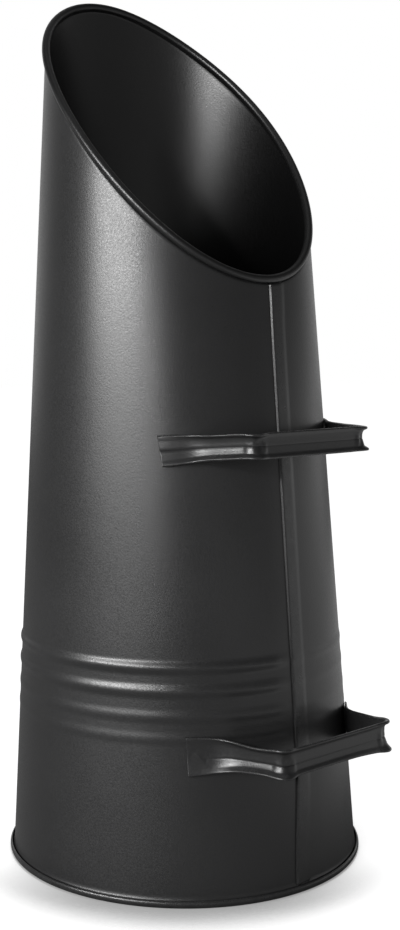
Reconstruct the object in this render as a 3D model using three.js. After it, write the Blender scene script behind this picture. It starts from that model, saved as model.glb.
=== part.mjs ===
// Tall coal scuttle (hod) of black painted sheet steel.
// A single sheet is rolled into a tapered body and locked along one upright seam. Its slanting
// mouth is curled round a wire, its foot is hooked into the folded rim of a round base, and two
// pressed strip handles are spot-welded over the seam, one above the other.
// Millimetres, +Z up. The origin is the middle of the base's underside, and the seam, the low
// side of the mouth and both handles lie towards +X.
import * as THREE from "three";

// ---------------------------------------------------------------- driving dimensions
const BASE_RADIUS = 100; // outside of the body, produced down to the floor
const TAPER = 0.0638; // radius lost for each millimetre of height
const LEAN = 0.0245; // how far the body leans back for each millimetre of height
const SHEET = 0.7; // steel of the body and of the base
const SEAT_GAP = 0.3; // clearance between pieces that touch

const MOUTH_HEIGHT = 414.6; // mean height of the curled edge's middle
const MOUTH_SLANT = 82.8; // how far the edge falls at the front and rises at the back
const MOUTH_WAVES = [-5.4, -1, 0.4]; // how the cut leaves a flat one, in 2, 3 and 4 waves round
const MOUTH_TURN = THREE.MathUtils.degToRad(-5.5); // low point of the cut, round from the seam

const WIRE_RADIUS = 1.3; // wire inside the curled edge
const CURL_NECK = 1.6; // straight wall between the curl and the body below it
const CURL_START = THREE.MathUtils.degToRad(235); // where the sheet meets the curl, inside
const CURL_END = THREE.MathUtils.degToRad(-65); // where the raw edge ends, outside

const SEAM_WIDTH = 8; // locked seam, over its folded layers
const SEAM_RAISE = 1.2; // how far the layers stand out from the body
const SEAM_EDGE = 0.5; // width of the slope at each side and end of the seam

const BEAD_HEIGHTS = [87.6, 98.8, 111.8, 125]; // ring beads, height of each crest
const BEAD_RISES = [0.35, 0.45, 0.9, 0.9]; // how far each crest stands out
const BEAD_WIDTHS = [8, 8, 10, 8.5]; // foot to foot of each bead
const BEAD_CROWN = 0.35; // share of a bead's width that its crest takes

const RIM_PROUD = 2.2; // base's folded rim, out from the body's radius at the floor
const RIM_HEIGHT = 4.4; // folded rim, floor to top
const RIM_ROUND = 1.2; // lower corner of the folded rim
const RIM_WIDEST = 2.2; // height where the rim begins to close in on the body
const HOOK_HEIGHT = 2.6; // top of the body's hook inside the rim

const STRIP = 1; // steel of the handles
const GRIP_DISH = 3.2; // depth of the groove pressed along the grip
const FOOT_DISH = 0.9; // depth that is left of it on the foot
const DISH_POWER = 1.8; // how sharply the groove is creased
const FOOT_LENGTH = 20; // foot along the body
const FOOT_BEND = 7; // bend between foot and leg
const GRIP_BEND = 2; // inside bend between leg and grip
const FORMED_LENGTH = 35; // strip from the end of the foot to where the groove is fully pressed
const HANDLE_NAMES = ["lower_handle", "upper_handle"];
const HANDLE_HEIGHTS = [81.3, 240.6]; // middle of each grip
const HANDLE_REACHES = [29, 23.5]; // body to the front of the grip
const GRIP_WIDTHS = [86, 89.5]; // over the two corners
const FOOT_SPANS = [124.5, 127.5]; // over the ends of the feet
const GRIP_HEIGHTS = [14.2, 13.6]; // pressed strip
const FOOT_HEIGHTS = [20, 16]; // flattened strip on the body
const NEAR_SAGS = [2.5, 4]; // how far each handle's foot on the -Y side is bent down
const FAR_SAGS = [6, 0]; // and its other foot

// ---------------------------------------------------------------- facets
const SIDES = 48; // flats round the body and the base
const CURL_STEPS = 8; // flats round the curl
const WIRE_SIDES = 8;
const BEND_STEPS = 5; // flats in each bend of a handle
const FOOT_STEPS = 5;
const CORNER_STEPS = 4; // flats in each corner of the base's rim
const DISH_SHARES = [-1, -0.72, -0.36, 0, 0.36, 0.72, 1]; // places across a handle's strip

const PAINT = { color: 0x1c1c1d, roughness: 0.42, metalness: 0.15 };
const BARE_WIRE = { color: 0x8a8c8f, roughness: 0.4, metalness: 1 };

// ---------------------------------------------------------------- shared forms
const CURL_INSIDE = WIRE_RADIUS + SEAT_GAP;
const CURL_OUTSIDE = CURL_INSIDE + SHEET;
const RIM_RADIUS = BASE_RADIUS + RIM_PROUD;

/** Outside radius of the plain body wall at a height. */
function wallRadius(z) {
  return BASE_RADIUS - TAPER * z;
}

/** Height of the middle of the curled edge, by the angle round from the seam. */
function mouthHeight(angle) {
  const turned = angle - MOUTH_TURN;
  const waves = MOUTH_WAVES.map((rise, i) => rise * Math.cos((i + 2) * turned));
  return MOUTH_HEIGHT - MOUTH_SLANT * Math.cos(turned) + waves.reduce((sum, wave) => sum + wave);
}

/** Point at a radius and an angle round the leaning body's middle, at a height. */
function around(radius, angle, z) {
  return new THREE.Vector3(radius * Math.cos(angle) - LEAN * z, radius * Math.sin(angle), z);
}

/** Middle of the curled edge, which stands centrally on the wall. */
function mouthPoint(angle) {
  const z = mouthHeight(angle);
  return around(wallRadius(z) - SHEET / 2, angle, z);
}

/** Place and directions of the curled edge at an angle: out of the wall, and up in it. */
function mouthFrame(angle) {
  const step = 0.001;
  const along = mouthPoint(angle + step).sub(mouthPoint(angle - step)).normalize();
  const overhang = TAPER + LEAN * Math.cos(angle);
  const out = new THREE.Vector3(Math.cos(angle), Math.sin(angle), overhang);
  out.addScaledVector(along, -out.dot(along)).normalize();
  const up = new THREE.Vector3().crossVectors(out, along).normalize();
  return { middle: mouthPoint(angle), out, up };
}

/** Point in the section of the curled edge, by its offsets out of and up in the wall. */
function inMouthFrame(frame, outward, upward) {
  return frame.middle.clone().addScaledVector(frame.out, outward).addScaledVector(frame.up, upward);
}

/** Joins closed loops of equal length into one closed solid, as a ring or with flat ends. */
function loftedSolid(loops, isRing) {
  const count = loops[0].length;
  const positions = loops.flat().flatMap((p) => [p.x, p.y, p.z]);
  const faces = [];
  const spans = isRing ? loops.length : loops.length - 1;
  for (let i = 0; i < spans; i++) {
    const here = i * count;
    const next = ((i + 1) % loops.length) * count;
    for (let j = 0; j < count; j++) {
      const k = (j + 1) % count;
      faces.push(here + j, next + j, next + k);
      faces.push(here + j, next + k, here + k);
    }
  }
  if (!isRing) {
    const last = (loops.length - 1) * count;
    for (const [a, b, c] of endTriangles(count)) {
      faces.push(a, b, c);
      faces.push(last + a, last + c, last + b);
    }
  }
  const geometry = new THREE.BufferGeometry();
  geometry.setAttribute("position", new THREE.Float32BufferAttribute(positions, 3));
  geometry.setIndex(faces);
  geometry.computeVertexNormals();
  return geometry;
}

/** Triangles that close a strip's end, whose outline runs along one face and back. */
function endTriangles(count) {
  const triangles = [];
  for (let j = 0; j < count / 2 - 1; j++) {
    const far = count - 1 - j;
    triangles.push([j, j + 1, far - 1], [j, far - 1, far]);
  }
  return triangles;
}

/** Named mesh with a material of its own. */
function piece(name, geometry, finish) {
  const mesh = new THREE.Mesh(geometry, new THREE.MeshStandardMaterial(finish));
  mesh.name = name;
  return mesh;
}

// ---------------------------------------------------------------- stations round the body
/** Angle of each station, with the sides of the seam kept parallel as the body narrows. */
function bodyStations() {
  const crest = SEAM_WIDTH / 2;
  const seam = [-crest - SEAM_EDGE, -crest, crest, crest + SEAM_EDGE].map((offset) => ({
    angle: 0,
    offset,
    share: Math.abs(offset) > crest ? 0 : 1,
  }));
  const plain = Array.from({ length: SIDES - 1 }, (_, i) => ({
    angle: ((i + 1) * 2 * Math.PI) / SIDES,
    offset: 0,
    share: 0,
  }));
  return [...seam, ...plain];
}

/** Angle of a station at a radius. */
function stationAngle(station, radius) {
  return station.angle + station.offset / radius;
}

// ---------------------------------------------------------------- body
/** Heights and outward offsets that draw the ring beads, from the lowest up. */
function beadProfile() {
  return BEAD_HEIGHTS.flatMap((crest, i) => {
    const foot = BEAD_WIDTHS[i] / 2;
    const top = foot * BEAD_CROWN;
    const rise = BEAD_RISES[i];
    return [
      { z: crest - foot, rise: 0 },
      { z: crest - top, rise },
      { z: crest + top, rise },
      { z: crest + foot, rise: 0 },
    ];
  });
}

/** Closed section of the body at one station: hook, outer face, curl, inner face. */
function bodySection(station) {
  const beads = beadProfile();
  const seamFoot = RIM_HEIGHT + 2 * SEAT_GAP;
  const on = (radius, z) => around(radius, stationAngle(station, radius), z);
  const onWall = (z, outward) => on(wallRadius(z) + outward, z);
  const raise = SEAM_RAISE * station.share;
  const frame = mouthFrame(stationAngle(station, wallRadius(MOUTH_HEIGHT - MOUTH_SLANT)));
  const inCurl = (outward, upward) => inMouthFrame(frame, outward, upward);

  const hookOutside = RIM_RADIUS - SHEET - SEAT_GAP;
  const hookFoot = SHEET + SEAT_GAP;
  const hook = [
    on(hookOutside, hookFoot),
    on(hookOutside, HOOK_HEIGHT),
    on(hookOutside - SHEET, HOOK_HEIGHT),
    on(hookOutside - SHEET, hookFoot + SHEET),
    onWall(hookFoot + SHEET, 0),
  ];

  const neck = -CURL_OUTSIDE - CURL_NECK;
  const outerFace = [
    onWall(seamFoot, 0),
    onWall(seamFoot + SEAM_EDGE, raise),
    ...beads.map(({ z, rise }) => onWall(z, rise + raise)),
    inCurl(SHEET / 2 + raise, neck - SEAM_EDGE),
    inCurl(SHEET / 2, neck),
  ];
  const innerFace = [
    inCurl(-SHEET / 2, neck),
    ...beads.toReversed().map(({ z, rise }) => onWall(z, rise - SHEET)),
    onWall(hookFoot, -SHEET),
  ];

  const turn = (CURL_START - CURL_END) / CURL_STEPS;
  const reach = CURL_INSIDE / Math.cos(turn / 2); // the flats, not the corners, clear the wire
  const curlAngles = Array.from({ length: CURL_STEPS + 1 }, (_, i) => CURL_START - i * turn);
  const curl = (radius) => (a) => inCurl(radius * Math.cos(a), radius * Math.sin(a));
  return [
    ...hook,
    ...outerFace,
    ...curlAngles.map(curl(reach)),
    ...curlAngles.toReversed().map(curl(CURL_OUTSIDE)),
    ...innerFace,
  ];
}

/** The rolled sheet: body, locked seam, beads, curled mouth and hooked foot in one piece. */
function bodyShell() {
  return loftedSolid(bodyStations().map(bodySection), true);
}

/** Wire hoop that stiffens the curled mouth. */
function mouthWire() {
  const radius = wallRadius(MOUTH_HEIGHT - MOUTH_SLANT);
  const loops = bodyStations().map((station) => {
    const frame = mouthFrame(stationAngle(station, radius));
    return Array.from({ length: WIRE_SIDES }, (_, i) => {
      const a = (i * 2 * Math.PI) / WIRE_SIDES;
      return inMouthFrame(frame, WIRE_RADIUS * Math.cos(a), WIRE_RADIUS * Math.sin(a));
    });
  });
  return loftedSolid(loops, true);
}

// ---------------------------------------------------------------- base
/** Points on a quarter round of the rim, by its middle, width, height and first angle. */
function quarterRound(radius, z, width, height, from) {
  return Array.from({ length: CORNER_STEPS + 1 }, (_, i) => {
    const a = from + ((Math.PI / 2) * i) / CORNER_STEPS;
    return new THREE.Vector2(radius + width * Math.cos(a), z + height * Math.sin(a));
  });
}

/** Round base whose rim is folded up and in over the foot of the body. */
function baseDisc() {
  const lip = wallRadius(RIM_HEIGHT) + SEAT_GAP;
  const crown = RIM_RADIUS - lip;
  const rise = RIM_HEIGHT - RIM_WIDEST;
  const corner = RIM_RADIUS - RIM_ROUND;
  const inside = RIM_ROUND - SHEET;
  const profile = [
    new THREE.Vector2(0, 0),
    ...quarterRound(corner, RIM_ROUND, RIM_ROUND, RIM_ROUND, -Math.PI / 2),
    ...quarterRound(lip, RIM_WIDEST, crown, rise, 0),
    ...quarterRound(lip, RIM_WIDEST, crown - SHEET, rise - SHEET, 0).reverse(),
    ...quarterRound(corner, RIM_ROUND, inside, inside, -Math.PI / 2).reverse(),
    new THREE.Vector2(0, SHEET),
  ];
  return new THREE.LatheGeometry(profile, SIDES).rotateX(Math.PI / 2);
}

// ---------------------------------------------------------------- handles
/** Points on the round that joins two straight runs at a corner. */
function bendPoints(before, corner, after, radius) {
  const back = before.clone().sub(corner).normalize();
  const on = after.clone().sub(corner).normalize();
  const half = back.angleTo(on) / 2;
  const middle = back.clone().add(on).normalize().multiplyScalar(radius / Math.sin(half));
  const centre = corner.clone().add(middle);
  const start = corner.clone().addScaledVector(back, radius / Math.tan(half)).sub(centre);
  const end = corner.clone().addScaledVector(on, radius / Math.tan(half)).sub(centre);
  const from = start.angle();
  const sweep = Math.atan2(start.cross(end), start.dot(end));
  return Array.from({ length: BEND_STEPS + 1 }, (_, i) => {
    const a = from + (sweep * i) / BEND_STEPS;
    return new THREE.Vector2(Math.cos(a), Math.sin(a)).multiplyScalar(radius).add(centre);
  });
}

/** Plan of a handle's back face, from the end of one foot round, by the handle's place. */
function handlePath(place) {
  const height = HANDLE_HEIGHTS[place];
  const seat = wallRadius(height) + SEAT_GAP;
  const gripX = wallRadius(height) + HANDLE_REACHES[place] - GRIP_DISH - STRIP;
  const gripY = GRIP_WIDTHS[place] / 2 - GRIP_DISH - STRIP;
  const footEnd = -Math.asin(FOOT_SPANS[place] / 2 / seat);
  const foot = Array.from({ length: FOOT_STEPS + 1 }, (_, i) => {
    const a = footEnd + (FOOT_LENGTH / seat) * (i / FOOT_STEPS);
    return new THREE.Vector2(seat * Math.cos(a), seat * Math.sin(a));
  });
  const heel = foot.pop();
  const corner = new THREE.Vector2(gripX, -gripY);
  const farCorner = new THREE.Vector2(gripX, gripY);
  const half = [
    ...foot,
    ...bendPoints(foot.at(-1), heel, corner, FOOT_BEND),
    ...bendPoints(heel, corner, farCorner, GRIP_BEND),
  ];
  const mirrored = half.toReversed().map((p) => new THREE.Vector2(p.x, -p.y));
  return [...half, ...mirrored];
}

/** Pressed strip handle, by its place: two feet, two legs and a grip grooved along its front. */
function handle(place) {
  const height = HANDLE_HEIGHTS[place];
  const path = handlePath(place);
  const fromEnd = [0];
  for (let i = 1; i < path.length; i++) fromEnd.push(fromEnd[i - 1] + path[i].distanceTo(path[i - 1]));
  const length = fromEnd.at(-1);
  const toCorner = (length - GRIP_WIDTHS[place]) / 2;
  const loops = path.map((point, i) => {
    const before = path[Math.max(i - 1, 0)];
    const after = path[Math.min(i + 1, path.length - 1)];
    const along = after.clone().sub(before).normalize();
    const front = new THREE.Vector2(along.y, -along.x);
    const inwards = point.clone().normalize().multiplyScalar(-TAPER);
    inwards.x -= LEAN;
    const nearEnd = Math.min(fromEnd[i], length - fromEnd[i]);
    const formed = THREE.MathUtils.smoothstep(nearEnd, 0, FORMED_LENGTH);
    const dish = THREE.MathUtils.lerp(FOOT_DISH, GRIP_DISH, formed);
    const tall = THREE.MathUtils.lerp(FOOT_HEIGHTS[place], GRIP_HEIGHTS[place], formed) / 2;
    const footSag = fromEnd[i] < length / 2 ? NEAR_SAGS[place] : FAR_SAGS[place];
    const sag = footSag * Math.max(0, 1 - nearEnd / toCorner);
    const across = (thickness) => (share) => {
      const outward = dish * Math.abs(share) ** DISH_POWER + thickness;
      const rise = share * tall - sag;
      const plan = point.clone().addScaledVector(front, outward).addScaledVector(inwards, rise);
      return new THREE.Vector3(plan.x - LEAN * height, plan.y, height + rise);
    };
    return [...DISH_SHARES.map(across(STRIP)), ...DISH_SHARES.toReversed().map(across(0))];
  });
  return loftedSolid(loops, false);
}

// ---------------------------------------------------------------- assembly
const scuttle = new THREE.Group();
scuttle.add(piece("base_disc", baseDisc(), PAINT));
scuttle.add(piece("body_shell", bodyShell(), PAINT));
scuttle.add(piece("mouth_wire", mouthWire(), BARE_WIRE));
HANDLE_NAMES.forEach((name, place) => scuttle.add(piece(name, handle(place), PAINT)));

export default scuttle;
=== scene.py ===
"""Visual model of the tall coal scuttle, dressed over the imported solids, and its studio."""
import logging
import math
from dataclasses import dataclass, field
from enum import Enum
from typing import Any

import bmesh
import bpy
import numpy as np
from mathutils import Matrix, Vector


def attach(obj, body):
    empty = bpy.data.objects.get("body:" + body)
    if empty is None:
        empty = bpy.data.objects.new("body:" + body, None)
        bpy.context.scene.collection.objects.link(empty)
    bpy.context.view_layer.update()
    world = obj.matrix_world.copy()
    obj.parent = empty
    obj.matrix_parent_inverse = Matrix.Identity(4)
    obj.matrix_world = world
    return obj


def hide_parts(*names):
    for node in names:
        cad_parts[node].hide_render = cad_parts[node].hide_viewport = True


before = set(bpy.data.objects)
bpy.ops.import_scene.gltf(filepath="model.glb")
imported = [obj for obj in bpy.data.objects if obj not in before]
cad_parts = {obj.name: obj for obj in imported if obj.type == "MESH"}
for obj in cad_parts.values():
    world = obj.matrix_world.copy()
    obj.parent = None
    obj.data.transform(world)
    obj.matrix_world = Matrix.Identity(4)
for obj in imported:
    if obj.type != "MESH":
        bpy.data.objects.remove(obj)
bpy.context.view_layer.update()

LOG = logging.getLogger("coal_scuttle")
MM = 0.001  # all sizes below are in millimetres unless they say otherwise
BODY = "root"
WEAR_SHEEN_ATTRIBUTE = "wear_and_sheen"  # vertex attribute: how much an edge is rubbed by hands and coal, and how much lighter painted sheen it carries
PAINTED_SHADE = "inside"  # vertex attribute: share of painted shade, a darker black painted inside the scuttle and over the curled edge
CREASE = 50  # degrees from which an edge shades as a crease
STRIP_CREASE = 60  # the same on a handle's strip
BEND_STEPS = 25  # points along each bend of a handle's plan


class Ends(Enum):
    """How the first and the last loop of a skin are closed."""

    JOINED = "joined to each other"
    CAPPED = "closed flat"


# ---------------------------------------------------------------- numbers
def eased(x: np.ndarray | float, low: float, high: float) -> np.ndarray:
    """Smooth step from 0 at low to 1 at high.

    Args:
        x: Places to read the step at.
        low: Where the step begins.
        high: Where it ends; it may lie below low.

    Returns:
        The step's height at each place.
    """
    t = np.clip((np.asarray(x, float) - low) / (high - low), 0, 1)
    return t * t * (3 - 2 * t)


def hump(x: np.ndarray | float, middle: float, width: float) -> np.ndarray:
    """Rounded hump of height 1.

    Args:
        x: Places to read the hump at.
        middle: Place of its crest.
        width: Distance from the crest to its foot.

    Returns:
        The hump's height at each place.
    """
    t = np.clip(np.abs(np.asarray(x, float) - middle) / width, 0, 1)
    return 0.5 + 0.5 * np.cos(np.pi * t)


def bell(x: np.ndarray | float, middle: float, spread: float) -> np.ndarray:
    """Bell-shaped hump of height 1 that fades out on both sides."""
    return np.exp(-(((x - middle) / spread) ** 2))


def joining(ends: tuple[Any, Any], slopes: tuple[Any, Any], t: Any) -> Any:
    """Smooth curve between two ends that leaves each with a given slope.

    Args:
        ends: Value or point at each end.
        slopes: Slope at each end, over the whole length.
        t: Share of the way, from 0 to 1.

    Returns:
        The value or point there.
    """
    return (
        ends[0] * (1 + 2 * t) * (1 - t) ** 2
        + slopes[0] * t * (1 - t) ** 2
        + ends[1] * t * t * (3 - 2 * t)
        + slopes[1] * t * t * (t - 1)
    )


def curve_through(xs: tuple[float, ...], ys: tuple[float, ...], x: np.ndarray) -> np.ndarray:
    """Smooth curve through points, without a ripple between them.

    Args:
        xs: Rising places of the points.
        ys: Heights of the points.
        x: Places to read the curve at.

    Returns:
        The curve's height at each place.
    """
    px, py = np.array(xs, float), np.array(ys, float)
    slope = np.gradient(py, px)
    i = np.clip(np.searchsorted(px, x) - 1, 0, len(px) - 2)
    step = px[i + 1] - px[i]
    slopes = slope[i] * step, slope[i + 1] * step
    return joining((py[i], py[i + 1]), slopes, (x - px[i]) / step)


def moving_average(points: np.ndarray, count: int) -> np.ndarray:
    """Rows of points smoothed by a rounded window.

    Args:
        points: Rows of coordinates.
        count: Odd number of rows under the window.

    Returns:
        As many smoothed rows.
    """
    window = np.hanning(count + 2)[1:-1]
    padded = np.pad(points, ((count // 2, count // 2), (0, 0)), mode="edge")
    columns = [np.convolve(column, window / window.sum(), "valid") for column in padded.T]
    return np.stack(columns, -1)


def unit(v: np.ndarray) -> np.ndarray:
    """Vectors scaled to length 1."""
    return v / np.linalg.norm(v, axis=-1, keepdims=True)


# ---------------------------------------------------------------- meshes
def linked(name: str, data: bpy.types.ID) -> bpy.types.Object:
    """Makes an object and links it to the scene.

    Args:
        name: Its name.
        data: The mesh, light or camera that it holds.

    Returns:
        The object.
    """
    obj = bpy.data.objects.new(name, data)
    bpy.context.scene.collection.objects.link(obj)
    return obj


def lofted(
    name: str, loops: np.ndarray, wear_and_sheen: np.ndarray, ends: Ends, inside: np.ndarray | None = None
) -> bpy.types.Object:
    """Joins closed loops of points into one closed skin.

    Args:
        name: Name of the piece.
        loops: Points by loop, place in the loop and axis.
        wear_and_sheen: How much each point is rubbed and carries painted sheen, from 0 to 1.
        ends: What closes the first and the last loop.
        inside: Share of painted shade at each point, a darker black inside the scuttle and over
            the curl, where any is painted.

    Returns:
        The finished object, linked to the scene.
    """
    count, around = loops.shape[:2]
    mesh = bmesh.new()
    verts = [mesh.verts.new(p) for p in (loops.reshape(-1, 3) * MM).tolist()]
    for i in range(count if ends is Ends.JOINED else count - 1):
        here, there = i * around, (i + 1) % count * around
        for j in range(around):
            k = (j + 1) % around
            mesh.faces.new((verts[here + j], verts[there + j], verts[there + k], verts[here + k]))
    if ends is Ends.CAPPED:
        last = (count - 1) * around
        for j in range(around // 2 - 1):
            far = around - 1 - j
            mesh.faces.new([verts[n] for n in (j, j + 1, far - 1, far)])
            mesh.faces.new([verts[last + n] for n in (far, far - 1, j + 1, j)])
    sharp = CREASE if ends is Ends.JOINED else STRIP_CREASE
    made = finished(name, mesh, wear_and_sheen.reshape(-1), sharp)
    if inside is not None:
        layer = made.data.attributes.new(PAINTED_SHADE, "FLOAT", "POINT").data
        layer.foreach_set("value", inside.reshape(-1).astype(np.float32))
    return made


def finished(
    name: str, mesh: bmesh.types.BMesh, wear_and_sheen: np.ndarray, sharp: float = CREASE
) -> bpy.types.Object:
    """Turns mesh code into a smooth-shaded object whose faces look outward.

    Args:
        name: Name of the piece.
        mesh: The mesh, which is freed.
        wear_and_sheen: How much each vertex is rubbed.
        sharp: Angle in degrees from which an edge shades as a crease.

    Returns:
        The object, linked to the scene.
    """
    bmesh.ops.recalc_face_normals(mesh, faces=mesh.faces)
    data = bpy.data.meshes.new(name)
    mesh.to_mesh(data)
    mesh.free()
    data.shade_smooth()
    data.set_sharp_from_angle(angle=math.radians(sharp))
    data.attributes.new(WEAR_SHEEN_ATTRIBUTE, "FLOAT", "POINT").data.foreach_set("value", wear_and_sheen.astype(np.float32))
    return linked(name, data)


def fixed(
    piece: bpy.types.Object, finish: bpy.types.Material, node: str
) -> bpy.types.Object:
    """Paints a piece and lets it stand for its solid.

    Args:
        piece: The finished mesh.
        finish: Its material.
        node: The solid it stands for.

    Returns:
        The same piece.
    """
    piece.data.materials.append(finish)
    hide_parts(node)
    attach(piece, BODY)
    return piece


# ---------------------------------------------------------------- shader expressions
class Shade:
    """A number that varies over a surface, which takes part in Python sums."""

    def __init__(self, recipe: "Recipe", socket: bpy.types.NodeSocket) -> None:
        """Wraps a socket of a recipe."""
        self.recipe = recipe
        self.socket = socket

    def _maths(self, operation: str, a: Any, b: Any) -> "Shade":
        """Adds a Math node for two terms, each a number or a Shade, and gives its result."""
        return self.recipe.node("ShaderNodeMath", {"operation": operation}, {0: a, 1: b})

    def __add__(self, other: Any) -> "Shade":
        """Sum."""
        return self._maths("ADD", self, other)

    __radd__ = __add__

    def __mul__(self, other: Any) -> "Shade":
        """Product."""
        return self._maths("MULTIPLY", self, other)

    __rmul__ = __mul__

    def __sub__(self, other: Any) -> "Shade":
        """Difference."""
        return self._maths("SUBTRACT", self, other)

    def __rsub__(self, other: Any) -> "Shade":
        """Difference from a plain number."""
        return self._maths("SUBTRACT", other, self)

    def larger(self, other: Any) -> "Shade":
        """The larger of two values."""
        return self._maths("MAXIMUM", self, other)


class Recipe:
    """Node tree of a material or a world."""

    def __init__(self, tree: bpy.types.NodeTree) -> None:
        """Starts the tree empty."""
        self.tree = tree
        tree.nodes.clear()

    def node(
        self,
        kind: str,
        settings: dict[str, Any] | None = None,
        sockets: dict[int | str, Any] | None = None,
        out: int | str = 0,
    ) -> Shade:
        """Adds a node, its settings first and then its sockets.

        Args:
            kind: Type of the node.
            settings: Its properties.
            sockets: Values or links of its inputs, by name or number.
            out: The output to hand on.

        Returns:
            That output, or an input where the node has no output.
        """
        made = self.tree.nodes.new(kind)
        for key, value in (settings or {}).items():
            setattr(made, key, value)
        for key, value in (sockets or {}).items():
            if isinstance(value, Shade):
                self.tree.links.new(value.socket, made.inputs[key])
            else:
                made.inputs[key].default_value = value
        return Shade(self, made.outputs[out] if made.outputs else made.inputs[0])

    def place(self) -> Shade:
        """Place on the piece, in metres."""
        return self.node("ShaderNodeTexCoord", out="Object")

    def stretched(self, where: Shade, by: tuple[float, float, float]) -> Shade:
        """Place multiplied axis by axis."""
        return self.node("ShaderNodeVectorMath", {"operation": "MULTIPLY"}, {0: where, 1: by})

    def toward(self, where: Shade, way: tuple[float, float, float]) -> Shade:
        """How far a place or direction reaches along a way."""
        settings = {"operation": "DOT_PRODUCT"}
        return self.node("ShaderNodeVectorMath", settings, {0: where, 1: way}, "Value")

    def noise(self, where: Shade, scale: float, detail: float = 2, rough: float = 0.5) -> Shade:
        """Cloudy noise.

        Args:
            where: Place to read it at.
            scale: Clouds in a metre.
            detail: Number of finer layers.
            rough: Strength of the finer layers.

        Returns:
            Noise about 0.5.
        """
        return self.node(
            "ShaderNodeTexNoise",
            {"noise_dimensions": "3D"},
            {"Vector": where, "Scale": scale, "Detail": detail, "Roughness": rough},
            "Fac",
        )

    def ramp(self, value: Shade, low: float, high: float) -> Shade:
        """Smooth step of a value.

        Args:
            value: The value.
            low: Where the step begins.
            high: Where it ends; it may lie below low.

        Returns:
            0 up to low, 1 from high on.
        """
        return self.node(
            "ShaderNodeMapRange",
            {"interpolation_type": "SMOOTHSTEP"},
            {"Value": value, "From Min": low, "From Max": high},
            "Result",
        )

    def mixed(self, share: Any, a: Any, b: Any) -> Shade:
        """Mix of two colours.

        Args:
            share: From 0 for the first to 1 for the second.
            a: First colour, plain or a Shade.
            b: Second colour.

        Returns:
            The colour.
        """
        colours = {6: a, 7: b}
        sockets = {k: v if isinstance(v, Shade) else (*v, 1) for k, v in colours.items()}
        settings = {"data_type": "RGBA", "blend_type": "MIX"}
        return self.node("ShaderNodeMix", settings, {0: share, **sockets}, 2)

    def marked(self, attribute: str) -> Shade:
        """Value of a vertex attribute here, and 0 on a piece without it."""
        return self.node("ShaderNodeAttribute", {"attribute_name": attribute}, out="Fac")

    def ray(self, kind: str) -> Shade:
        """1 where a ray is of a kind, such as Camera or Glossy."""
        return self.node("ShaderNodeLightPath", out=f"Is {kind} Ray")

    def bumped(self, height: Shade, strength: float, depth: float) -> Shade:
        """Normal that follows a height."""
        sockets = {"Strength": strength, "Distance": depth * MM, "Height": height}
        return self.node("ShaderNodeBump", None, sockets, "Normal")

    def skinned(self, sockets: dict[str, Any]) -> None:
        """Ends a finish with its skin, of the given sockets."""
        skin = self.node("ShaderNodeBsdfPrincipled", None, sockets)
        self.node("ShaderNodeOutputMaterial", None, {"Surface": skin})


def new_material(name: str) -> tuple[bpy.types.Material, Recipe]:
    """Makes an empty material.

    Args:
        name: Its name.

    Returns:
        The material and its recipe.
    """
    made = bpy.data.materials.new(name)
    made.use_nodes = True
    return made, Recipe(made.node_tree)


# ---------------------------------------------------------------- finishes
@dataclass(frozen=True)
class SatinPaint:
    """Satin black stove paint with a fine grain, burnished a little along edges.

    A noise holds its clouds to the metre, its finer layers and their strength. The paint thins
    to a lighter black where it is rubbed, which is also a painted sheen on edges and highlights.
    Inside the scuttle and over the curl it is painted a darker black, a painted shade.
    """

    name: str = "satin_black_paint"
    slot: str = "black_paint"
    black: tuple[float, float, float] = (0.0115, 0.0115, 0.0118)
    cloudy: float = 1.6
    cloudy_range: tuple[float, float] = (0.3, 0.7)
    cloud_noise: tuple[float, ...] = (14, 3, 0.55)
    # share of the black that is left in the painted shade inside the scuttle and over the curl
    painted_shade_share: float = 0.3
    # lighter black of rubbed places, partly wear and partly a painted sheen
    sheen_black: tuple[float, float, float] = (0.03, 0.03, 0.0305)
    wear_noise: tuple[float, ...] = (190, 4, 0.7)
    wear_range: tuple[float, float] = (0.38, 0.62)
    roughness: float = 0.355
    rough_speck: float = 0.27
    rough_cloud: float = 0.08
    burnish: float = 0.12
    specular: float = 0.68
    grain: float = 0.13
    grain_noise: tuple[float, ...] = (1100, 2, 0.55)
    grain_depth: float = 0.4
    peel: float = 0.3
    peel_noise: tuple[float, ...] = (260, 1)

    def material(self) -> bpy.types.Material:
        """Builds the paint.

        Returns:
            The material.
        """
        made, recipe = new_material(self.name)
        where = recipe.place()
        speck = recipe.noise(where, *self.grain_noise)
        cloud = recipe.noise(where, *self.cloud_noise)
        orange_peel = recipe.noise(where, *self.peel_noise)
        patches = recipe.ramp(recipe.noise(where, *self.wear_noise), *self.wear_range)
        # rubbed places: wear, and a painted sheen where they lighten the black
        wear_sheen = recipe.marked(WEAR_SHEEN_ATTRIBUTE) * patches
        tone = recipe.ramp(speck * 0.5 + cloud * 0.5, *self.cloudy_range)
        paint = recipe.mixed(tone, self.black, tuple(c * self.cloudy for c in self.black))
        outside = recipe.mixed(wear_sheen, paint, self.sheen_black)
        # painted shade: darker black inside the scuttle and over the curl
        painted_shade_black = tuple(c * self.painted_shade_share for c in self.black)
        uneven = (speck - 0.5) * self.rough_speck + (cloud - 0.5) * self.rough_cloud
        height = speck + orange_peel * self.peel
        sockets = {
            "Base Color": recipe.mixed(recipe.marked(PAINTED_SHADE), outside, painted_shade_black),
            "Roughness": self.roughness + uneven - wear_sheen * self.burnish,
            "Specular IOR Level": self.specular,
            "Normal": recipe.bumped(height, self.grain, self.grain_depth),
        }
        recipe.skinned(sockets)
        return made


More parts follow.
